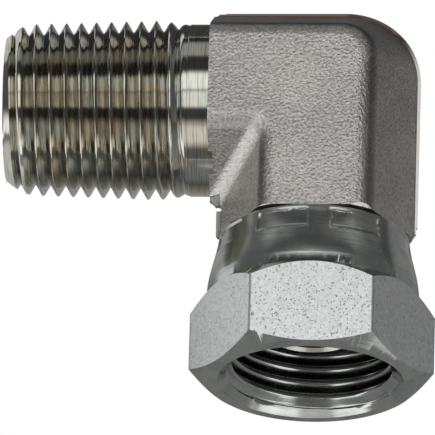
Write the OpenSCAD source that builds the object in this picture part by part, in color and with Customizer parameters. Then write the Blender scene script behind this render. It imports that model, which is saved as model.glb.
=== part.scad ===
// Hydraulic elbow adapter, 90 degrees: 1/2-14 tapered male pipe thread on one arm,
// 1/2-14 straight female pipe swivel on the other. All sizes are in millimetres.
// The origin is the centre of the male end face. The male arm runs along X, the swivel
// hangs along -Y, and the part lies on its back with the forging's front flat facing +Z.

/* [Forging] */
// Swivel axis to the male end face
male_reach = 37.5; // [36:0.5:50]
// Thickness between the front and back flats
block_thick = 21.2; // [20:0.1:24]
// Male axis to the flash along the top of the forging
top_side = 12.8; // [12.5:0.1:14]
// Swivel axis to the flash down the outer side of the forging
outer_side = 12.4; // [12:0.1:14]
// Either axis to the flash on the inner side of its arm
inner_side = 11.9; // [11.5:0.1:14]
// Width of each bevel seen from the front, from the flash to the flat
bevel_width = 6; // [5:0.1:7]
// Rounding of the creases between the flats and the bevels
crease_radius = 2.4; // [1:0.1:3]
// Thickness of the trimmed flash on the parting line
flash_width = 0.5; // [0.2:0.1:1]
// How far the trimmed flash stands out from the bevels
flash_height = 0.4; // [0.1:0.1:0.6]
// Radius of the outer bend on the parting line
heel_radius = 9.2; // [7:0.1:12]
// Swivel axis to the machined shoulder behind the male collar
male_shoulder = 12.7; // [12.5:0.1:14]
// Male axis to the machined end face above the nut
swivel_shoulder = 16.75; // [15:0.05:20]
// Diameter to which the corners are turned down near the male end
male_turned_dia = 25.3; // [24.4:0.1:25.6]
// Diameter to which the corners are turned down near the swivel end
swivel_turned_dia = 24.4; // [24.2:0.1:25.4]
// Chamfer between such a turned band and its end face
end_chamfer = 0.6; // [0.4:0.05:0.9]
// Length of such a turned band
turned_band = 1.3; // [1:0.1:2.5]
// Diameter of the flow passages
bore_dia = 10; // [7:0.1:11]

/* [Male pipe thread] */
// Distance from one thread to the next
thread_pitch = 1.814; // [1.4:0.001:2.2]
// Crest diameter of the thread where it meets the end face
thread_dia = 20.5; // [20.2:0.1:21]
// Height of the thread from root to crest
thread_depth = 1.33; // [0.8:0.01:1.45]
// Length over which the diameter grows by one
taper_ratio = 16; // [12:1:32]
// Diameter of the end face inside its chamfer
thread_nose_dia = 17.4; // [16:0.1:18.5]
// Angle of the end chamfer from the axis
thread_nose_angle = 36.5; // [25:0.5:45]
// Turning of the thread about its axis, as a share of one turn
thread_phase = 0.4; // [0:0.01:0.95]
// Length over which the crests fall away before the collar
crest_runout = 3.9; // [2:0.1:5]
// Length over which the roots rise to the collar
root_runout = 2.2; // [1.5:0.1:3]
// Diameter of the plain turned collar
collar_dia = 20.8; // [20.4:0.1:21.4]
// Length of the plain turned collar
collar_length = 2.6; // [2:0.1:4]

/* [Swivel stub] */
// Diameter of the neck that the nut is crimped round
neck_dia = 16.6; // [14:0.1:17.5]
// Diameter of the shoulder that holds the nut
holding_dia = 19.8; // [19:0.1:20.2]
// Length of the cylindrical part of that shoulder
holding_length = 1.4; // [1:0.1:2]
// Height of the ramp behind the shoulder, along the axis
holding_ramp = 2; // [1.5:0.1:2.5]
// Length of the neck from the end face to the ramp
neck_length = 1.95; // [1.8:0.05:2.5]
// Diameter of the barrel in front of the shoulder
barrel_dia = 17.2; // [16:0.1:18]
// End face of the forging to the tip of the coned nose
nose_reach = 12.5; // [10:0.1:14]
// Diameter of the flat at the tip of the coned nose
nose_tip_dia = 13.8; // [12.5:0.1:15]
// Angle of the coned seat from the axis
seat_angle = 30; // [28:1:35]

/* [Swivel nut] */
// Width across the flats of the hexagon
nut_af = 25.4; // [24.8:0.1:28]
// Overall length of the nut
nut_length = 18.4; // [17.5:0.05:24]
// Running gap between the forging's end face and the nut
nut_gap = 0.25; // [0.15:0.05:0.6]
// How far the nut is turned on its axis as it lies
nut_turn = 1.9; // [-30:0.1:30]
// Length of the round collar, down to the hexagon's flats
skirt_length = 8; // [7.5:0.1:9]
// Outer diameter of the collar where it is crimped in
crimped_dia = 22.9; // [22.4:0.1:24]
// Length over which the collar was crimped in
crimped_length = 6.8; // [5.5:0.1:7.2]
// Rounding of the collar's rear edge
rear_round = 0.35; // [0.1:0.05:0.5]
// Angle of the cone that cuts the hexagon's rear corners, from the axis
rear_cone_angle = 46.5; // [35:0.5:60]
// Diameter of the flat ring round the mouth
mouth_ring_dia = 24.8; // [24:0.1:25.2]
// Angle of the mouth's corner chamfer from the end face
mouth_chamfer_angle = 32; // [20:1:40]
// Minor diameter of the internal thread
tap_dia = 19; // [18.6:0.1:19.3]
// Depth of the internal thread
tap_depth = 1.05; // [0.8:0.05:1.2]
// Turning of the internal thread about its axis, as a share of one turn
tap_phase = 0.81; // [0:0.01:0.95]
// Length over which the internal thread deepens from the inner end
tap_runout = 1.3; // [0.8:0.1:2]
// Diameter of the countersink at the mouth
countersink_dia = 22.4; // [21:0.1:23]
// Angle of the countersink from the axis
countersink_angle = 44; // [30:1:60]
// Clearance between the nut and the stub that it turns on
running_clearance = 0.25; // [0.15:0.05:0.4]

/* [Crimp marks] */
// Number of jaw marks round the collar
mark_count = 8; // [4:1:12]
// Angle that one jaw mark covers
mark_angle = 31; // [15:1:40]
// Height of a jaw mark
mark_height = 2.4; // [1.5:0.1:3]
// Distance from the nut's rear face to the jaw marks
mark_inset = 0.6; // [0.5:0.1:1.5]
// Depth of a jaw mark
mark_depth = 0.18; // [0.1:0.01:0.3]
// Angle of the first jaw mark from a corner of the hexagon
mark_start = 19.1; // [0:0.1:45]

/* [Hidden] */
$fn = 96;
overlap = 0.5;

// Forging
half_thick = block_thick / 2;
half_flash = flash_width / 2;
bevel_angle = atan2(half_thick - half_flash, bevel_width - flash_height);
crease_setback = crease_radius * tan(bevel_angle / 2);
crease_steps = 4;
bore_r = bore_dia / 2;
drill_point_angle = 59;
drill_past = bore_r / tan(drill_point_angle);
bend_x = outer_side - heel_radius;
bend_y = top_side - heel_radius;

// Male pipe thread, measured along X from the end face
shoulder_x = male_reach - male_shoulder;
collar_x = shoulder_x - collar_length;
thread_end = collar_x + overlap;
// The thread's far end is sunk into the collar, this far below its surface
sink = 0.1;
sunk_r = collar_dia / 2 - sink;
sides = 36;
// An edge that ends nearer than this to an end ring ends on the ring
snap = 0.06;
// Places of root end, crest start, crest end and root start, as shares of one pitch
tooth = [[0, 0], [0.42, 1], [0.5, 1], [0.92, 0]];
steps = len(tooth);
// Turns of the helix that lie before its start or past its end
spare_turns = 2;

// Swivel stub, measured along the swivel axis from the male axis
neck_start = swivel_shoulder - overlap;
ramp_start = swivel_shoulder + neck_length;
holding_start = ramp_start + holding_ramp;
holding_end = holding_start + holding_length;
nose_tip = swivel_shoulder + nose_reach;
nose_start = nose_tip - (barrel_dia - nose_tip_dia) / 2 / tan(seat_angle);

// Swivel nut, measured the same way
nut_rear = swivel_shoulder + nut_gap;
nut_mouth = nut_rear + nut_length;
flats_start = nut_rear + skirt_length;
corner_r = nut_af / 2 / cos(30);
skirt_r = nut_af / 2;
lip_r = neck_dia / 2 + running_clearance;
pocket_r = holding_dia / 2 + running_clearance;
pocket_end = holding_end + running_clearance;
lip_end = ramp_start - running_clearance;
pocket_start = holding_start - running_clearance;
countersink_start = nut_mouth - (countersink_dia - tap_dia) / 2 / tan(countersink_angle);
chamfer_rise = (corner_r - mouth_ring_dia / 2) * tan(mouth_chamfer_angle);
corner_start = flats_start + (corner_r - skirt_r) / tan(rear_cone_angle);

// Internal thread of the nut, measured along the swivel axis from where it starts
tap_start = pocket_end - running_clearance;
tap_length = nut_mouth + overlap - tap_start;
// The facets of the internal thread clear the drilled hole by this
tap_margin = 0.05;

// Forging

// Outline of one side of an arm, from the front flat to the flash
function side_outline(side) = [
    for (i = [0 : crease_steps]) let (turn = bevel_angle * i / crease_steps)
        [side - bevel_width - crease_setback + crease_radius * sin(turn),
            half_thick - crease_radius * (1 - cos(turn))],
    [side - flash_height, half_flash], [side, half_flash]];

// The same outline carried on to the back flat
function whole_side(side) = let (half = side_outline(side))
    [each half, for (i = [len(half) - 1 : -1 : 0]) [half[i][0], -half[i][1]]];

// Cross-section of one arm: two flats, four bevels and the trimmed flash
module arm_section(outer) {
    inner = whole_side(inner_side);
    polygon([each whole_side(outer),
        for (i = [len(inner) - 1 : -1 : 0]) [-inner[i][0], inner[i][1]]]);
}

// Outer half of that section, measured from the centre of the bend
module heel_section() {
    polygon([[0, half_thick], each whole_side(heel_radius), [0, -half_thick]]);
}

// What the lathe leaves of an arm at its machined end, along Z from the bend
module turned_end(length, turned_r) {
    corner = top_side + half_thick;
    rotate_extrude() polygon([[0, -corner], [corner, -corner],
        [corner, length - turned_band - corner + turned_r],
        [turned_r, length - turned_band], [turned_r, length - end_chamfer],
        [turned_r - end_chamfer, length], [0, length]]);
}

// One arm along Z, from where the bend starts to its machined end
module arm(length, outer, bend, turned_dia) {
    intersection() {
        translate([0, 0, -bend]) linear_extrude(length + bend) arm_section(outer);
        turned_end(length, turned_dia / 2);
    }
}

module forged_block() {
    rotate([90, 0, 0]) arm(swivel_shoulder, outer_side, bend_y, swivel_turned_dia);
    rotate([-90, 0, 90]) arm(male_shoulder, top_side, bend_x, male_turned_dia);
    translate([bend_x, bend_y, 0]) rotate_extrude(angle = 90) heel_section();
    linear_extrude(block_thick, center = true) square(2 * [bend_x, bend_y], center = true);
}

// Pipe threads, each measured along X from where it starts

// Share of the full height left at x, where it falls to nothing over a length before the collar
function height_left(x, length) = min(1, max(0, (collar_x - x) / length));

// Radius of the male thread's root (0) or crest (1) at x, cut by the end chamfer
function male_r(x, crest) =
    let (top = thread_dia / 2 + x / taper_ratio / 2,
        full = crest == 1 ? top : top - thread_depth,
        left = height_left(x, crest == 1 ? crest_runout : root_runout))
    min(sunk_r + (full - sunk_r) * left, thread_nose_dia / 2 + x * tan(thread_nose_angle));

// Radius of the internal thread's ridge (0) or groove (1) at x
function tap_r(x, groove) = tap_dia / 2 + tap_margin
    + groove * tap_depth * min(1, max(0, (x - running_clearance) / tap_runout));

function thread_r(inside, x, edge) = inside ? tap_r(x, edge) : male_r(x, edge);

// Place along the axis of one edge of a thread on one of the sides, before it is cut to length
function edge_x(phase, side, edge) =
    thread_pitch * (floor(edge / steps) - spare_turns + phase + tooth[edge % steps][0] + side / sides);

function on_ring(x, r, side) = [x, r * cos(360 * side / sides), r * sin(360 * side / sides)];

// A thread as one closed solid: two end rings, and edges that run round as one true helix
module threaded_sleeve(length, phase, inside = false) {
    turns = ceil(length / thread_pitch) + spare_turns;
    edges = steps * (turns + 1);
    rings = [for (end = [0, length], side = [0 : sides - 1])
        on_ring(end, thread_r(inside, end, 0), side)];
    helix = [for (side = [0 : sides - 1], edge = [0 : edges - 1])
        let (x = edge_x(phase, side, edge))
            on_ring(x, thread_r(inside, x, tooth[edge % steps][1]), side)];
    // Point number, where an edge past either end falls on that end's ring
    function point(side, edge) = side == sides ? point(0, edge + steps)
        : let (x = edge_x(phase, side, min(edge, edges - 1)))
            x <= snap ? side : x >= length - snap ? sides + side
            : 2 * sides + side * edges + edge;
    strips = [for (side = [0 : sides - 1], edge = [0 : edges - steps - 1])
        let (a = point(side, edge), b = point(side + 1, edge),
            c = point(side + 1, edge + 1), d = point(side, edge + 1))
        for (face = [[a, c, b], [a, d, c]])
            if (face[0] != face[1] && face[1] != face[2] && face[2] != face[0]) face];
    caps = [[for (side = [0 : sides - 1]) side],
        [for (side = [0 : sides - 1]) 2 * sides - 1 - side]];
    polyhedron([each rings, each helix], [each strips, each caps]);
}

module male_end() {
    threaded_sleeve(thread_end, thread_phase);
    translate([collar_x, 0, 0]) rotate([0, 90, 0])
        cylinder(d = collar_dia, h = collar_length + overlap);
}

// Swivel stub, with the shoulder that the nut is held by and the coned seat
module swivel_stub() {
    rotate_extrude() polygon([[0, neck_start], [neck_dia / 2, neck_start],
        [neck_dia / 2, ramp_start], [holding_dia / 2, holding_start],
        [holding_dia / 2, holding_end], [barrel_dia / 2, holding_end],
        [barrel_dia / 2, nose_start], [nose_tip_dia / 2, nose_tip], [0, nose_tip]]);
}

// Drilled passage along Z from the bend to past one end of the elbow
module passage(length) {
    cylinder(r = bore_r, h = length + overlap);
    translate([0, 0, -drill_past]) cylinder(r1 = 0, r2 = bore_r, h = drill_past);
}

// Sub-parts

module elbow_body() {
    color("dimgray") difference() {
        union() {
            translate([male_reach, 0, 0]) {
                forged_block();
                rotate([90, 0, 0]) swivel_stub();
            }
            male_end();
        }
        translate([male_reach, 0, 0]) {
            rotate([90, 0, 0]) passage(nose_tip);
            rotate([90, 0, -90]) passage(male_reach);
        }
    }
}

// Outside of the collar, at a share of the crimped length: half a cone and half a smooth bend
function crimp_r(share) = crimped_dia / 2
    + (skirt_r - crimped_dia / 2) * (share + (1 - cos(180 * share)) / 2) / 2;

// Share of the crimped length at a distance from the nut's rear face
function crimp_share(distance) = (distance - rear_round) / (crimped_length - rear_round);

module nut_outside() {
    bends = 8;
    rear_r = crimped_dia / 2;
    rotate_extrude() polygon([[0, nut_rear], [rear_r - rear_round, nut_rear],
        [rear_r - rear_round * (1 - sin(45)), nut_rear + rear_round * (1 - cos(45))],
        for (i = [0 : bends]) [crimp_r(i / bends),
            nut_rear + rear_round + (crimped_length - rear_round) * i / bends],
        [skirt_r, flats_start], [corner_r, corner_start],
        [corner_r, nut_mouth - chamfer_rise], [mouth_ring_dia / 2, nut_mouth], [0, nut_mouth]]);
}

// The hexagonal bar that the nut was made from
module hexagon_bar() {
    translate([0, 0, nut_rear - overlap])
        linear_extrude(nut_length + 2 * overlap) circle(r = corner_r, $fn = 6);
}

module nut_inside() {
    rotate_extrude() polygon([[0, nut_rear - overlap], [lip_r, nut_rear - overlap],
        [lip_r, lip_end], [pocket_r, pocket_start], [pocket_r, pocket_end],
        [tap_dia / 2, pocket_end], [tap_dia / 2, countersink_start],
        [countersink_dia / 2, nut_mouth], [countersink_dia / 2, nut_mouth + overlap],
        [0, nut_mouth + overlap]]);
    translate([0, 0, tap_start]) rotate([0, -90, 0])
        threaded_sleeve(tap_length, tap_phase, inside = true);
}

// One mark pressed into the collar by a crimping jaw
module jaw_mark() {
    mark_end = mark_inset + mark_height;
    low_r = crimp_r(crimp_share(mark_inset)) - mark_depth;
    high_r = crimp_r(crimp_share(mark_end)) - mark_depth;
    rotate([0, 0, -mark_angle / 2]) rotate_extrude(angle = mark_angle)
        polygon([[low_r, nut_rear + mark_inset], [skirt_r + overlap, nut_rear + mark_inset],
            [skirt_r + overlap, nut_rear + mark_end], [high_r, nut_rear + mark_end]]);
}

module swivel_nut() {
    color("lightgray") translate([male_reach, 0, 0]) rotate([90, 0, 0]) rotate([0, 0, -nut_turn])
        difference() {
            intersection() {
                nut_outside();
                hexagon_bar();
            }
            nut_inside();
            for (i = [0 : mark_count - 1])
                rotate([0, 0, mark_start + i * 360 / mark_count]) jaw_mark();
        }
}

elbow_body();
swivel_nut();
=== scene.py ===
from math import atan2, cos, degrees, hypot, pi, radians, sin, tan

import bmesh
import bpy
from mathutils import Matrix, Vector


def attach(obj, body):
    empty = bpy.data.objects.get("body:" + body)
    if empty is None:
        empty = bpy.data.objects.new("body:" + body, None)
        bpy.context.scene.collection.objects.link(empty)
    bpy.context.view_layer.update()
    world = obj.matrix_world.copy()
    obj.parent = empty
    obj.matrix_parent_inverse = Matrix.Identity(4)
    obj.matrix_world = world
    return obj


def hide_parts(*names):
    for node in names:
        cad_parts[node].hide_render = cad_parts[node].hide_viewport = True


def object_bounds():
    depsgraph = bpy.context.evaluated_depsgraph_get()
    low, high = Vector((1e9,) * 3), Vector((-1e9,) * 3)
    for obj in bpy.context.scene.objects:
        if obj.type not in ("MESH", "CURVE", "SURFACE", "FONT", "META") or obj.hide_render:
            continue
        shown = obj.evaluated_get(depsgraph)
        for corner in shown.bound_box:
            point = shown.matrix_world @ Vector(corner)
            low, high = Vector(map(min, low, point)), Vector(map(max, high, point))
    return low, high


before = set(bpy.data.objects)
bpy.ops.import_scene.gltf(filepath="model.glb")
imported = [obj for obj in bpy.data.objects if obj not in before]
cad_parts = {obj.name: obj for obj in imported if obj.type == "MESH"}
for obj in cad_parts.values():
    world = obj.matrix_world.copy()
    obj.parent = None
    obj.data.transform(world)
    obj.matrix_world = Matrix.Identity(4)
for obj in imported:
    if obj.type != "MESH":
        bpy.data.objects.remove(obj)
cad_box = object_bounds()

# Camera: a long lens on a stand in front of and above the fitting, which lies on its back.
# It is aimed at the middle of the picture, from the direction in which the photograph was taken.
MM = 0.001
bend = Vector((37.5, 0, 0)) * MM
azimuth, elevation, roll = radians(6.49), radians(66.0), radians(-5.67)
camera_distance = 1.4
picture_side = 435
pixels_per_metre = 8290
bend_in_picture = Vector((317.6, 111.3))

back = Vector((sin(azimuth) * cos(elevation), -cos(azimuth) * cos(elevation), sin(elevation)))
level = Vector((cos(azimuth), sin(azimuth), 0))
right = level * cos(roll) + back.cross(level) * sin(roll)
up = back.cross(right)
off_centre = (Vector((picture_side, picture_side)) / 2 - bend_in_picture) / pixels_per_metre
target = bend + right * off_centre.x - up * off_centre.y

camera = bpy.data.objects.new("camera", bpy.data.cameras.new("camera"))
bpy.context.collection.objects.link(camera)
camera.location = bend + back * camera_distance
sight = (camera.location - target).normalized()
across = up.cross(sight).normalized()
camera.matrix_world = (Matrix.Translation(camera.location)
                       @ Matrix((across, sight.cross(across), sight)).transposed().to_4x4())
camera.data.sensor_width = 36
camera.data.lens = 36 * camera_distance / (picture_side / pixels_per_metre)
camera.data.clip_end = 10
bpy.context.scene.camera = camera
bpy.context.scene.view_settings.view_transform = "Standard"


# Finishes are put together here: a Wire is one socket of a finish, and sums on it add Math nodes.
# Finish.add makes every other node, with its settings first and then its values or links.
class Wire:
    def __init__(self, finish, socket):
        self.finish, self.socket = finish, socket

    def maths(self, operation, *values):
        return self.finish.add("ShaderNodeMath", {"operation": operation}, *values)

    def __add__(self, other):
        return self.maths("ADD", self, other)

    def __sub__(self, other):
        return self.maths("SUBTRACT", self, other)

    def __rsub__(self, other):
        return self.maths("SUBTRACT", other, self)

    def __mul__(self, other):
        return self.maths("MULTIPLY", self, other)

    def __truediv__(self, other):
        return self.maths("DIVIDE", self, other)

    def __pow__(self, other):
        return self.maths("POWER", self, other)

    __radd__, __rmul__ = __add__, __mul__

    def least(self, other):
        return self.maths("MINIMUM", self, other)

    def most(self, other):
        return self.maths("MAXIMUM", self, other)

    def between(self, low, high):
        """0 below low, 1 above high, and smooth between them."""
        return self.finish.add("ShaderNodeMapRange", {"interpolation_type": "SMOOTHSTEP"},
                               self, low, high)


class Finish:
    def __init__(self, name, world=False):
        self.holder = (bpy.data.worlds if world else bpy.data.materials).new(name)
        self.holder.use_nodes = True
        self.tree = self.holder.node_tree
        self.tree.nodes.clear()
        self.place = None

    def add(self, kind, settings=None, *values, output=0, **named):
        node = self.tree.nodes.new(kind)
        for key, value in (settings or {}).items():
            if key == "stops":
                ramp = node.color_ramp.elements
                while len(ramp) < len(value):
                    ramp.new(1)
                for stop, (position, shade) in zip(ramp, value):
                    stop.position, stop.color = position, shade
            else:
                setattr(node, key, value)
        for key, value in [*enumerate(values), *named.items()]:
            socket = (node.inputs[key] if isinstance(key, int) else
                      next(s for s in node.inputs if s.enabled and s.name == key.replace("_", " ")))
            if isinstance(value, Wire):
                self.tree.links.new(value.socket, socket)
            else:
                socket.default_value = value
        outlet = node.outputs[output]
        return Wire(self, outlet)

    def spot(self):
        """Where a point is on the part, in millimetres."""
        if self.place is None:
            at = self.add("ShaderNodeTexCoord", output="Object")
            scaled = self.add("ShaderNodeVectorMath", {"operation": "SCALE"}, at, Scale=1000)
            self.place = scaled
        return self.place

    def axes(self):
        """The spot's three coordinates, in millimetres."""
        split = self.tree.nodes.new("ShaderNodeSeparateXYZ")
        self.tree.links.new(self.spot().socket, split.inputs[0])
        return [Wire(self, out) for out in split.outputs]

    def noise(self, size, detail=2.0, roughness=0.5, at=None, seed=0.0, stretch=None):
        """Noise from 0 to 1 whose features measure about size millimetres."""
        where = at or self.spot()
        if stretch:
            where = self.add("ShaderNodeVectorMath", {"operation": "MULTIPLY"}, where, stretch)
        return self.add("ShaderNodeTexNoise", {"noise_dimensions": "4D"}, Vector=where, W=seed,
                        Scale=1 / size, Detail=detail, Roughness=roughness)

    def blend(self, share, one, other):
        """A colour between two, at a share of the second."""
        mix = self.tree.nodes.new("ShaderNodeMix")
        mix.data_type = "RGBA"
        for name, value in (("Factor", share), ("A", one), ("B", other)):
            socket = next(s for s in mix.inputs if s.enabled and s.name == name)
            if isinstance(value, Wire):
                self.tree.links.new(value.socket, socket)
            else:
                socket.default_value = (*value, 1) if isinstance(value, tuple) and len(value) == 3 else value
        return Wire(self, next(s for s in mix.outputs if s.enabled))

    def bump(self, height, distance, normal=None):
        """A surface that stands up by a height, in millimetres at a height of one."""
        extra = {"Normal": normal} if normal else {}
        return self.add("ShaderNodeBump", None, Strength=1.0, Distance=distance * MM,
                        Height=height, **extra)

    def metal(self, colour, roughness, normal=None, **more):
        """Closes the finish as bare or plated metal."""
        values = dict(more, Base_Color=colour, Metallic=1.0, Roughness=roughness)
        if normal:
            values["Normal"] = normal
        return self.close(self.add("ShaderNodeBsdfPrincipled", None, **values))

    def close(self, shader):
        kind = "ShaderNodeOutputWorld" if isinstance(self.holder, bpy.types.World) else "ShaderNodeOutputMaterial"
        self.add_end(kind, shader)
        return self.holder

    def add_end(self, kind, shader):
        end = self.tree.nodes.new(kind)
        self.tree.links.new(shader.socket, end.inputs["Surface"])


# Studio: a plain pale floor and a white surround, with a tent of pale and dark cloth over the
# fitting, a card on the table under it and one at each side. They show only in the metal.
def keep(name, form, *finishes):
    """A finished mesh as an object at the origin."""
    mesh = bpy.data.meshes.new(name)
    form.to_mesh(mesh)
    form.free()
    for finish in finishes:
        mesh.materials.append(finish)
    piece = bpy.data.objects.new(name, mesh)
    bpy.context.collection.objects.link(piece)
    return piece


def seen_white(finish, light):
    """1 for rays that show the surround as it is, and the level of its light for the rest."""
    path = finish.tree.nodes.new("ShaderNodeLightPath")
    camera_ray, glossy_ray, through_ray = (
        Wire(finish, path.outputs[name])
        for name in ("Is Camera Ray", "Is Glossy Ray", "Is Transmission Ray"))
    return light + (1 - light) * camera_ray.most(glossy_ray).most(through_ray)


surround = Finish("surround", world=True)
surround.close(surround.add("ShaderNodeBackground", None, Color=(1, 1, 1, 1),
                            Strength=seen_white(surround, 0.8)))
bpy.context.scene.world = surround.holder

floor_level = cad_box[0].z - 0.0001
floor_form = bmesh.new()
bmesh.ops.create_grid(floor_form, x_segments=1, y_segments=1, size=3,
                      matrix=Matrix.Translation((0, 0, floor_level)))
paper = Finish("white_paper")
paper_light = paper.add("ShaderNodeEmission", None, Color=(1, 1, 1, 1), Strength=1.0)
paper_matt = paper.add("ShaderNodeBsdfDiffuse", None, Color=(0.9, 0.9, 0.9, 1))
paper.close(paper.add("ShaderNodeMixShader", None, seen_white(paper, 0.0), paper_matt, paper_light))
floor = keep("floor", floor_form, paper.holder)

# Each panel of the tent spans two angles about the X axis, from +Y up over the fitting, in degrees.
tent_distance, tent_length, tent_start, tent_end, tent_light = 0.5, 1.6, -25, 205, 1.5
tent_panels = ((-25, 7, 0.03), (13, 33, 0.38), (38, 58, 0.04), (65, 84, 1.25), (86, 87, 0.4),
               (89, 107, 1.05), (111, 124, 0.05), (137, 154, 0.9), (166, 205, 0.13))


def grey(level):
    return (level, level, level, 1)


def seen_in_metal(name, form, finish):
    """A card that shows only as a reflection."""
    shown = keep(name, form, finish)
    shown.visible_camera = shown.visible_diffuse = shown.visible_shadow = False
    shown.visible_transmission = False


tent_cloth = Finish("tent_cloth")
x, y, z = tent_cloth.axes()
turn = z.maths("ARCTAN2", 0 - y, z) * (180 / pi) + 90
tent_shade = tent_cloth.add("ShaderNodeValToRGB", {"stops": [
    ((angle - tent_start) / (tent_end - tent_start), grey(level / tent_light))
    for start, end, level in tent_panels for angle in (start, end)]},
    (turn - tent_start) / (tent_end - tent_start))
front_sides = x.most(0 - x).between(90, 160) * turn.between(152, 162)
tent_shade = tent_cloth.blend(front_sides, tent_shade, grey(1.3 / tent_light))
tent_cloth.close(tent_cloth.add("ShaderNodeEmission", None, tent_shade, tent_light))
tent_form = bmesh.new()
tent_edge = [tent_form.verts.new((x * tent_length / 2, tent_distance * cos(radians(tent_start)),
                                  tent_distance * sin(radians(tent_start)))) for x in (-1, 1)]
bmesh.ops.spin(tent_form, geom=[*tent_edge, tent_form.edges.new(tent_edge)], cent=(0, 0, 0),
               axis=(1, 0, 0), angle=radians(tent_end - tent_start), steps=90)
seen_in_metal("tent", tent_form, tent_cloth.holder)

table_card = Finish("table_card")
x, y, z = table_card.axes()
table_span, lamp_light = 400, 1.4
table_shade = table_card.add("ShaderNodeValToRGB", {"stops": [
    ((along + table_span) / table_span / 2, grey(level / lamp_light)) for along, level in (
        (-60, 0.24), (-30, 0.2), (-22, 0.1), (-10, 0.35), (8, 0.4), (16, 0.35), (24, 0.06))]},
    (y + table_span) / (2 * table_span))
table_glow = table_card.blend(x.between(48, 62) * (y.between(-60, -40) - y.between(14, 26)),
                              table_shade, grey(0.24 / lamp_light))
table_glow = table_card.blend((1 - x.between(-14, 6)) * y.between(-60, -40), table_glow,
                              grey(0.85 / lamp_light))
right_lamp = (1 - y.between(-64, -52)) * y.between(-130, -100) * x.between(54, 64)
table_glow = table_card.blend(right_lamp, table_glow, grey(0.6 / lamp_light))
table_card.close(table_card.add("ShaderNodeEmission", None, table_glow, lamp_light))
table_form = bmesh.new()
bmesh.ops.create_grid(table_form, x_segments=1, y_segments=1, size=table_span * MM,
                      matrix=Matrix.Translation((0, 0, floor_level + 0.00005)))
seen_in_metal("table_card", table_form, table_card.holder)

side_card = Finish("side_card")
x, y, z = side_card.axes()
low_left = (0 - x).between(0, 10) * (0 - y).between(20, 120) * (1 - z.between(60, 160))
side_half = 0.6
side_card.close(side_card.add("ShaderNodeEmission", None,
                              side_card.blend(low_left, grey(0.08), grey(1)), 1.6))
for name, along in (("left_card", -0.4), ("right_card", 0.45)):
    side_form = bmesh.new()
    bmesh.ops.create_grid(side_form, x_segments=1, y_segments=1, size=side_half,
                          matrix=Matrix.Translation((along, 0, floor_level + side_half))
                          @ Matrix.Rotation(pi / 2, 4, "Y"))
    seen_in_metal(name, side_form, side_card.holder)


# Forging: half of it is drawn as its outline on the parting line, raised to the flat with bevels,
# and mirrored. The dies leave soft creases and a trimmed flash, and a lathe squares both ends.
block_thick, bevel_width, flash_width, flash_height = 21.2, 6, 0.5, 0.4
top_side, outer_side, inner_side, heel_radius = 12.8, 12.4, 11.9, 9.2
crease_round, valley_round = 1.43, 1.7
male_reach, male_shoulder, swivel_shoulder = 37.5, 12.7, 16.75
male_turned_r, swivel_turned_r, turned_band, end_chamfer = 12.65, 12.2, 1.3, 0.6
die_spare = 8


def baked(piece):
    """Works a piece's modifiers into its mesh."""
    bpy.context.view_layer.update()
    old = piece.data
    piece.data = bpy.data.meshes.new_from_object(
        piece.evaluated_get(bpy.context.evaluated_depsgraph_get()))
    piece.modifiers.clear()
    bpy.data.meshes.remove(old)


def worked(piece, operation, tool):
    """Cuts, joins or trims a piece with a tool, which is used up."""
    change = piece.modifiers.new(operation, "BOOLEAN")
    change.operation, change.object, change.solver = operation, tool, "EXACT"
    change.material_mode = "TRANSFER"
    baked(piece)
    bpy.data.objects.remove(tool)


def eased(piece, width, angle=30, segments=2):
    """Breaks a piece's sharp edges, as wear and deburring do."""
    ease = piece.modifiers.new("eased", "BEVEL")
    ease.limit_method, ease.angle_limit = "ANGLE", radians(angle)
    ease.width, ease.segments, ease.miter_outer = width, segments, "MITER_ARC"
    baked(piece)


def turned(outline, steps=180):
    """The solid that a lathe turns about the X axis from (distance, radius) points."""
    form = bmesh.new()
    points = [form.verts.new((along, radius, 0)) for along, radius in outline]
    edges = [form.edges.new(pair) for pair in zip(points, points[1:])]
    bmesh.ops.spin(form, geom=points + edges, cent=(0, 0, 0), axis=(1, 0, 0),
                   angle=2 * pi, steps=steps, use_merge=True)
    bmesh.ops.remove_doubles(form, verts=form.verts, dist=1e-4)
    bmesh.ops.recalc_face_normals(form, faces=form.faces)
    return form


to_swivel = Matrix.Rotation(-pi / 2, 4, "Z")
to_male = Matrix.Rotation(pi, 4, "Z")


def placed(name, form, matrix, *finishes):
    form.transform(matrix)
    return keep(name, form, *finishes)


block = bmesh.new()
outer_wall, top_wall, inner_wall = (side - flash_height for side in (outer_side, top_side, inner_side))
male_far, swivel_far = -male_shoulder - die_spare, -swivel_shoulder - die_spare
corners = [block.verts.new((x, y, 0)) for x, y in (
    (outer_wall, swivel_far), (outer_wall, top_wall), (male_far, top_wall),
    (male_far, -inner_wall), (-inner_wall, -inner_wall), (-inner_wall, swivel_far))]
block.faces.new(corners)
bmesh.ops.bevel(block, geom=[corners[1]], affect="VERTICES", offset=heel_radius - flash_height,
                segments=24, profile=0.5, material=-1)
raised = bmesh.ops.extrude_face_region(block, geom=block.faces[:])["geom"]
bmesh.ops.translate(block, verts=[v for v in raised if isinstance(v, bmesh.types.BMVert)],
                    vec=(0, 0, flash_width / 2))
flat = [f for f in raised if isinstance(f, bmesh.types.BMFace)]
bmesh.ops.inset_region(block, faces=flat, thickness=bevel_width - flash_height,
                       use_even_offset=True)
bmesh.ops.translate(block, verts=flat[0].verts[:], vec=(0, 0, (block_thick - flash_width) / 2))
bmesh.ops.delete(block, geom=[f for f in block.faces if not any(v.co.z for v in f.verts)],
                 context="FACES_ONLY")
top = block_thick / 2 - 0.01
valley = [e for e in block.edges if all(v.co.x < 0 and abs(v.co.x - v.co.y) < 0.01 for v in e.verts)]
bmesh.ops.bevel(block, geom=valley, affect="EDGES", offset=valley_round, segments=8, profile=0.5,
                material=-1)
creases = [e for e in block.edges if min(v.co.z for v in e.verts) > top]
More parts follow.
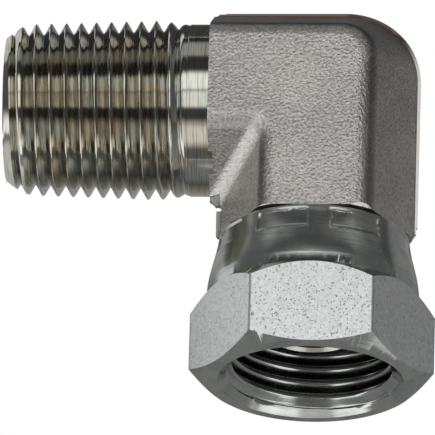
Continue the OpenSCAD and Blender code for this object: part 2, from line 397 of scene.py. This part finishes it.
bmesh.ops.bevel(block, geom=creases, affect="EDGES", offset=crease_round, segments=8, profile=0.5,
                material=-1)
bmesh.ops.mirror(block, geom=block.verts[:] + block.edges[:] + block.faces[:], axis="Z",
                 merge_dist=0.001)
bmesh.ops.recalc_face_normals(block, faces=block.faces)
rim = [f for f in block.faces if all(abs(v.co.z) < flash_width for v in f.verts)]
flash = bmesh.ops.extrude_face_region(block, geom=rim)["geom"]
bmesh.ops.delete(block, geom=rim, context="FACES")
block.normal_update()
outwards = {v: sum((f.normal for f in v.link_faces if f in flash), Vector()).normalized()
            for v in flash if isinstance(v, bmesh.types.BMVert)}
for vert, direction in outwards.items():
    vert.co += direction * flash_height
for end, outwards in (((-male_shoulder, 0, 0), (-1, 0, 0)), ((0, -swivel_shoulder, 0), (0, -1, 0))):
    cut = bmesh.ops.bisect_plane(block, geom=block.verts[:] + block.edges[:] + block.faces[:],
                                 plane_co=end, plane_no=outwards, clear_outer=True)["geom_cut"]
    bmesh.ops.holes_fill(block, edges=[e for e in cut if isinstance(e, bmesh.types.BMEdge)])
bmesh.ops.recalc_face_normals(block, faces=block.faces)

forged = Finish("forged_steel")
x, y, z = forged.axes()
x = x - male_reach
worms = forged.noise(0.34, 2, 0.5, seed=1)
pits = forged.noise(0.2, 1, 0.5, seed=2)
grain = worms * 0.7 + pits * 0.3
blotch = forged.noise(7, 3, 0.6, seed=3)
from_top, from_side = (heel_radius - top_side + y).most(0), (heel_radius - outer_side + x).most(0)
from_flash = heel_radius - (from_top ** 2 + from_side ** 2) ** 0.5
inner_flash = x.most(y) + inner_side
# Painted shade: soft dark bands along the creases where the flats meet the bevels, put into the colour.
outer_crease_shade = from_flash.between(4.7, 5.3) * (1 - from_flash.between(5.5, 6.2))
inner_crease_shade = inner_flash.between(5.3, 5.7) * (1 - inner_flash.between(5.9, 6.5)) * (0 - y).between(7, 10)
on_flash = (1 - from_flash.between(0.36, 0.44)).most(1 - inner_flash.between(0.36, 0.44))
steel = forged.blend(blotch.between(0.35, 0.65), (0.52, 0.505, 0.48), (0.62, 0.605, 0.57))
steel = forged.blend(grain.between(0.52, 0.36) * 0.42, steel, (0.1, 0.097, 0.09))
steel = forged.blend(grain.between(0.54, 0.66) * 0.4, steel, (0.95, 0.93, 0.88))
# Painted shade in the creases, darkening the colour there.
steel = forged.blend(outer_crease_shade.most(inner_crease_shade) * 0.6, steel, (0.08, 0.078, 0.07))
# Painted highlight: the rounded valley inside the bend is lightened in the colour, standing in for a reflection.
valley_highlight = (1 - (x - y).most(y - x).between(0.8, 2.0)) * (0 - x).between(5.5, 7)
steel = forged.blend(valley_highlight * 0.7, steel, (0.97, 0.95, 0.92))
sheared = forged.blend(x.between(0, 2), (0.3, 0.29, 0.27), (0.75, 0.73, 0.7))
sheared = forged.blend(y.between(5, 9), sheared, (0.2, 0.14, 0.11))
steel = forged.blend(on_flash, steel, sheared)
forged.metal(steel, 0.32 + 0.1 * blotch, forged.bump(grain * (1 - on_flash), 0.2))
lathed = Finish("turned_steel")
x, y, z = lathed.axes()
rings = lathed.noise(0.16, 2, 0.6, stretch=(1, 0.02, 0.02), seed=4)
stain = lathed.noise(5, 3, 0.6, seed=5)
shine = lathed.blend(stain.between(0.4, 0.62), (0.5, 0.5, 0.47), (0.42, 0.41, 0.37))
lathed.metal(shine, 0.14 + 0.08 * rings, lathed.bump(rings, 0.006))

elbow = keep("elbow_forging", block, forged.holder)
beyond = 13.4
for length, turn, turned_r in ((swivel_shoulder, to_swivel, swivel_turned_r),
                               (male_shoulder, to_male, male_turned_r)):
    worked(elbow, "DIFFERENCE", placed("lathe_cut", turned((
        (length - turned_band, turned_r), (length - end_chamfer, turned_r),
        (length, turned_r - end_chamfer), (length + 1, turned_r - end_chamfer), (length + 1, beyond),
        (length - turned_band - beyond + turned_r, beyond), (length - turned_band, turned_r))),
        turn, lathed.holder))
eased(elbow, 0.08, 25)

# Male end: a 1 in 16 taper pipe thread cut on the turned end, with its chamfered start and its
# run-out into a plain collar. One tooth's outline is spun along the helix, then trimmed.
thread_pitch, thread_depth, crest_r, taper_on_radius = 1.814, 1.33, 10.25, 1 / 32
collar_r, collar_start, thread_sunk = 10.4, 22.2, 0.1
nose_r, nose_slope, lead_r, lead_slope, lead_start = 8.7, tan(radians(36.5)), 9.96, 0.27, 1.7
root_runout, crest_runout = 2.2, 3.9
first_crest = 1.56
tooth = ((-0.5, 0), (-0.48, 0.01), (-0.45, 0.05), (-0.38, 0.2), (-0.27, 0.46), (-0.16, 0.72),
         (-0.09, 0.88), (-0.06, 0.94), (-0.035, 0.985), (0, 1), (0.035, 0.985), (0.06, 0.94),
         (0.09, 0.88), (0.16, 0.72), (0.27, 0.46), (0.38, 0.2), (0.45, 0.05), (0.48, 0.01), (0.5, 0))
steps_a_turn = 96


def coiled(outline, pitch, turns):
    """A ribbon with the outline of one pitch, spun about the X axis along a right-hand helix."""
    form = bmesh.new()
    points = [form.verts.new((along, radius, 0)) for along, radius in outline]
    edges = [form.edges.new(pair) for pair in zip(points, points[1:])]
    bmesh.ops.spin(form, geom=points + edges, cent=(0, 0, 0), axis=(1, 0, 0), angle=2 * pi * turns,
                   dvec=(pitch / steps_a_turn, 0, 0), steps=steps_a_turn * turns)
    bmesh.ops.remove_doubles(form, verts=form.verts, dist=1e-3)
    return form


def closed_between(form, low, high):
    """Cuts a ribbon square at two distances along X and closes it into a solid."""
    for end, outwards in ((low, -1), (high, 1)):
        cut = bmesh.ops.bisect_plane(form, geom=form.verts[:] + form.edges[:] + form.faces[:],
                                     plane_co=(end, 0, 0), plane_no=(outwards, 0, 0),
                                     clear_outer=True)["geom_cut"]
        bmesh.ops.holes_fill(form, edges=[e for e in cut if isinstance(e, bmesh.types.BMEdge)])
    bmesh.ops.recalc_face_normals(form, faces=form.faces)


def moved_to_radius(form, radius_at):
    """Moves each point of a form out or in to the radius that its distance along X calls for."""
    for vert in form.verts:
        radius = hypot(vert.co.y, vert.co.z)
        wanted = radius_at(vert.co.x, radius)
        vert.co.y *= wanted / radius
        vert.co.z *= wanted / radius


def male_radius(x, radius):
    share = (radius - crest_r + thread_depth) / thread_depth
    full = radius + x * taper_on_radius
    sunk = collar_r - thread_sunk
    runout = root_runout + (crest_runout - root_runout) * share
    full = sunk + (full - sunk) * min(1, max(0, (collar_start - x) / runout))
    return min(full, nose_r + max(x, 0) * nose_slope, lead_r + max(x - lead_start, 0) * lead_slope)


threaded = Finish("threaded_steel")
x, y, z = threaded.axes()
radius = (y ** 2 + z ** 2) ** 0.5
above_root = (radius - crest_r + thread_depth - x * taper_on_radius) / thread_depth
# Painted shade: the thread's colour darkens from the crests down the flanks into the roots, and fades out at the
# run-out.
groove_shade = (1 - above_root.between(0.05, 0.85)) * (1 - x.between(collar_start - 1.5, collar_start))
rings = threaded.noise(0.12, 2, 0.6, stretch=(1, 0.03, 0.03), seed=6)
stain = threaded.noise(3, 3, 0.6, seed=7)
flank_shade = groove_shade * above_root.between(0.35, 0.6)
shine = threaded.blend(stain.between(0.4, 0.6), (0.6, 0.61, 0.55), (0.62, 0.57, 0.47))
shine = threaded.blend(rings.between(0.5, 0.66) * 0.6, shine, (0.18, 0.19, 0.17))
# Painted shade in the grooves and on the flanks below the crests.
shine = threaded.blend(groove_shade * 0.2 + flank_shade * 0.45, shine, (0.04, 0.042, 0.035))
threaded.metal(shine, 0.08 + 0.05 * rings, threaded.bump(rings, 0.006))

male = coiled([(first_crest - 2 * thread_pitch + along * thread_pitch,
                crest_r - thread_depth * (1 - height)) for along, height in tooth], thread_pitch, 15)
bmesh.ops.bisect_plane(male, geom=male.verts[:] + male.edges[:] + male.faces[:],
                       plane_co=(-0.2, 0, 0), plane_no=(-1, 0, 0), clear_outer=True)
moved_to_radius(male, male_radius)
closed_between(male, 0, collar_start + 0.5)
male_end = placed("male_end", male, Matrix.Translation((-male_reach, 0, 0)), threaded.holder)
collar = placed("collar", turned((
    (male_reach - male_shoulder + 0.5, 0), (male_reach - male_shoulder + 0.5, collar_r),
    (collar_start + 0.06, collar_r), (collar_start, collar_r - 0.06), (collar_start, 0))),
    Matrix.Translation((-male_reach, 0, 0)), threaded.holder)
worked(male_end, "UNION", collar)
worked(elbow, "UNION", male_end)

# Swivel stub: the turned neck, the shoulder that holds the nut and the coned seat, in one piece
# with the forging. The two passages are drilled from either end and meet in the bend.
neck_r, holding_r, barrel_r, nose_tip_r, bore_r = 8.3, 9.9, 8.6, 6.9, 5
ramp_start, holding_start, holding_end, nose_tip = 18.7, 20.7, 22.1, 29.25
seat_slope, drill_slope = tan(radians(30)), tan(radians(59))
stub = placed("stub", turned((
    (swivel_shoulder - 0.5, 0), (swivel_shoulder - 0.5, neck_r), (ramp_start, neck_r),
    (holding_start, holding_r), (holding_end, holding_r), (holding_end, barrel_r),
    (nose_tip - (barrel_r - nose_tip_r) / seat_slope, barrel_r), (nose_tip, nose_tip_r),
    (nose_tip, 0))), to_swivel, lathed.holder)
eased(stub, 0.12, 20)
worked(elbow, "UNION", stub)
for length, turn in ((nose_tip, to_swivel), (male_reach, to_male)):
    worked(elbow, "DIFFERENCE", placed("drill", turned((
        (-bore_r / drill_slope, 0), (0, bore_r), (length - 0.4, bore_r), (length + 0.6, bore_r + 1),
        (length + 0.6, 0)), 96), turn, lathed.holder))


def finished(piece, angle):
    """Puts a piece in its place in metres, and smooths it but for its sharp edges."""
    piece.data.transform(Matrix.Scale(MM, 4) @ Matrix.Translation((male_reach, 0, 0)))
    piece.data.shade_smooth()
    piece.data.set_sharp_from_angle(angle=radians(angle))
    keep_flats = piece.modifiers.new("keep_flats", "WEIGHTED_NORMAL")
    keep_flats.keep_sharp, keep_flats.weight = True, 80


finished(elbow, 32)
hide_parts("elbow_body")
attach(elbow, "elbow")

# Swivel nut: cut from one-inch hexagon bar, turned to a collar at the rear, tapped, and crimped
# in behind the shoulder of the stub by eight jaws, which leave their marks on the collar.
nut_af, nut_rear, nut_mouth, nut_turn = 25.4, 17.0, 35.4, radians(1.9)
collar_rear_r, rear_round, crimp_end, flats_start = 11.45, 0.35, 23.8, 25.0
rear_cone, mouth_cone, mouth_ring_r = tan(radians(46.5)), tan(radians(32)), 12.4
tap_r, tap_depth, tap_phase = 9.5, 1.1, 0.7
sink_start, sink_slope = 33.64, tan(radians(44))
lip_r, lip_end, pocket_r, pocket_start, pocket_end = 8.55, 18.45, 10.15, 20.45, 22.35
mark_count, mark_angle, mark_start, mark_low, mark_high, mark_depth = 8, 31, 19.1, 17.6, 20.0, 0.18
mark_edge = 0.28
skirt_r, corner_r = nut_af / 2, nut_af / 2 / cos(radians(30))
crimp_points, crimp_length = 32, crimp_end - nut_rear - rear_round
corner_start = flats_start + (corner_r - skirt_r) / rear_cone


def crimped(share):
    """The collar's radius at a share of its crimped length."""
    return collar_rear_r + (skirt_r - collar_rear_r) * (share + (1 - cos(pi * share)) / 2) / 2


flats = Finish("rolled_flats")
x, y, z = flats.axes()
radius = ((x - male_reach) ** 2 + z ** 2) ** 0.5
cloud = flats.noise(0.4, 4, 0.7, seed=11)
tint = flats.noise(1.1, 3, 0.6, seed=12)
speck = flats.noise(0.24, 1, 0.5, seed=13)
pit = flats.noise(1.1, 1, 0.5, seed=16)
zinc = flats.blend(cloud.between(0.38, 0.62), (0.62, 0.645, 0.655), (0.8, 0.81, 0.8))
zinc = flats.blend(tint.between(0.5, 0.68) * 0.25, zinc, (0.84, 0.78, 0.7))
dents = speck.between(0.63, 0.7).most(pit.between(0.74, 0.76))
on_corner = radius.between(corner_r - 0.12, corner_r - 0.05)
zinc = flats.blend((dents * 0.55).most(on_corner * 0.75), zinc, (0.13, 0.13, 0.12))
flats.metal(zinc, 0.32 + 0.1 * cloud, flats.bump((1 - dents) + 0.3 * cloud, 0.03))
plated = Finish("turned_zinc")
x, y, z = plated.axes()
drawn = plated.noise(0.12, 2, 0.6, stretch=(0.03, 1, 0.03), seed=14)
haze = plated.noise(3, 3, 0.6, seed=15)
sheen = plated.blend(haze.between(0.4, 0.62), (0.5, 0.54, 0.52), (0.64, 0.65, 0.62))
sheen = plated.blend(drawn.between(0.5, 0.7) * 0.45, sheen, (0.28, 0.31, 0.29))
radius = ((x - male_reach) ** 2 + z ** 2) ** 0.5
# Painted shade: the tapped thread inside the nut is darkened in the colour below its crests.
tapped = (1 - radius.between(tap_r + tap_depth - 0.1, tap_r + tap_depth + 0.3)) * (
    y.between(-sink_start, 0.3 - sink_start) - y.between(-23, -22))
sheen = plated.blend(tapped * radius.between(tap_r + 0.12, tap_r + 0.6) * 0.7, sheen,
                     (0.05, 0.055, 0.05))
on_collar = y.between(-flats_start, 1 - flats_start)
plated.metal(sheen, 0.11 + 0.06 * drawn + 0.08 * on_collar, plated.bump(drawn, 0.008))

nut_form = turned((
    (nut_rear, 0), (nut_rear, collar_rear_r - rear_round),
    *((nut_rear + rear_round * (1 - cos(radians(a))),
       collar_rear_r - rear_round * (1 - sin(radians(a)))) for a in (22.5, 45, 67.5)),
    *((nut_rear + rear_round + crimp_length * i / crimp_points, crimped(i / crimp_points))
      for i in range(crimp_points + 1)),
    (flats_start, skirt_r), (corner_start, corner_r + 0.001),
    (nut_mouth - (corner_r - mouth_ring_r) * mouth_cone, corner_r + 0.001),
    (nut_mouth, mouth_ring_r), (nut_mouth, 0)), 360)
for vert in nut_form.verts:
    along, radius = vert.co.x, hypot(vert.co.y, vert.co.z)
    if mark_low - mark_edge < along < mark_high + mark_edge:
        angle = atan2(vert.co.z, vert.co.y) + nut_turn
        spread = (degrees(angle) - mark_start) % (360 / mark_count)
        spread = min(spread, 360 / mark_count - spread)
        inside = min(along - mark_low, mark_high - along,
                     radians(mark_angle / 2 - spread) * radius) / mark_edge + 0.5
        inside = min(1, max(0, inside))
        pressed = 1 - mark_depth * inside * inside * (3 - 2 * inside) / radius
        vert.co.y *= pressed
        vert.co.z *= pressed
nut = placed("swivel_nut_turned", nut_form, Matrix.Identity(4), plated.holder)

bar = bmesh.new()
bmesh.ops.create_circle(bar, cap_ends=True, segments=6, radius=corner_r)
stretched = bmesh.ops.extrude_face_region(bar, geom=bar.faces[:])["geom"]
bmesh.ops.translate(bar, verts=[v for v in stretched if isinstance(v, bmesh.types.BMVert)],
                    vec=(0, 0, nut_mouth - nut_rear + 2))
bmesh.ops.recalc_face_normals(bar, faces=bar.faces)
worked(nut, "INTERSECT", placed("bar", bar, Matrix.Translation((nut_rear - 1, 0, 0))
                                @ Matrix.Rotation(-nut_turn, 4, "X")
                                @ Matrix(((0, 0, 1, 0), (0, 1, 0, 0), (-1, 0, 0, 0), (0, 0, 0, 1))),
                                flats.holder))
eased(nut, 0.1, 24)


def tapped_radius(x, radius):
    return max(radius, tap_r + (x - sink_start) * sink_slope)


tap = coiled([(pocket_end - 2 * thread_pitch + tap_phase + along * thread_pitch,
               tap_r + tap_depth * (1 - height)) for along, height in tooth], thread_pitch, 11)
bmesh.ops.bisect_plane(tap, geom=tap.verts[:] + tap.edges[:] + tap.faces[:],
                       plane_co=(sink_start, 0, 0), plane_no=(1, 0, 0))
moved_to_radius(tap, tapped_radius)
closed_between(tap, pocket_end - 0.1, nut_mouth + 0.6)
worked(nut, "DIFFERENCE", placed("tap", tap, Matrix.Identity(4), plated.holder))
worked(nut, "DIFFERENCE", placed("pocket", turned((
    (nut_rear - 1, 0), (nut_rear - 1, lip_r), (lip_end, lip_r), (pocket_start, pocket_r),
    (pocket_end, pocket_r), (pocket_end, 0)), 96), Matrix.Identity(4), plated.holder))
nut.data.transform(to_swivel)
finished(nut, 32)
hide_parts("swivel_nut")
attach(nut, "nut")
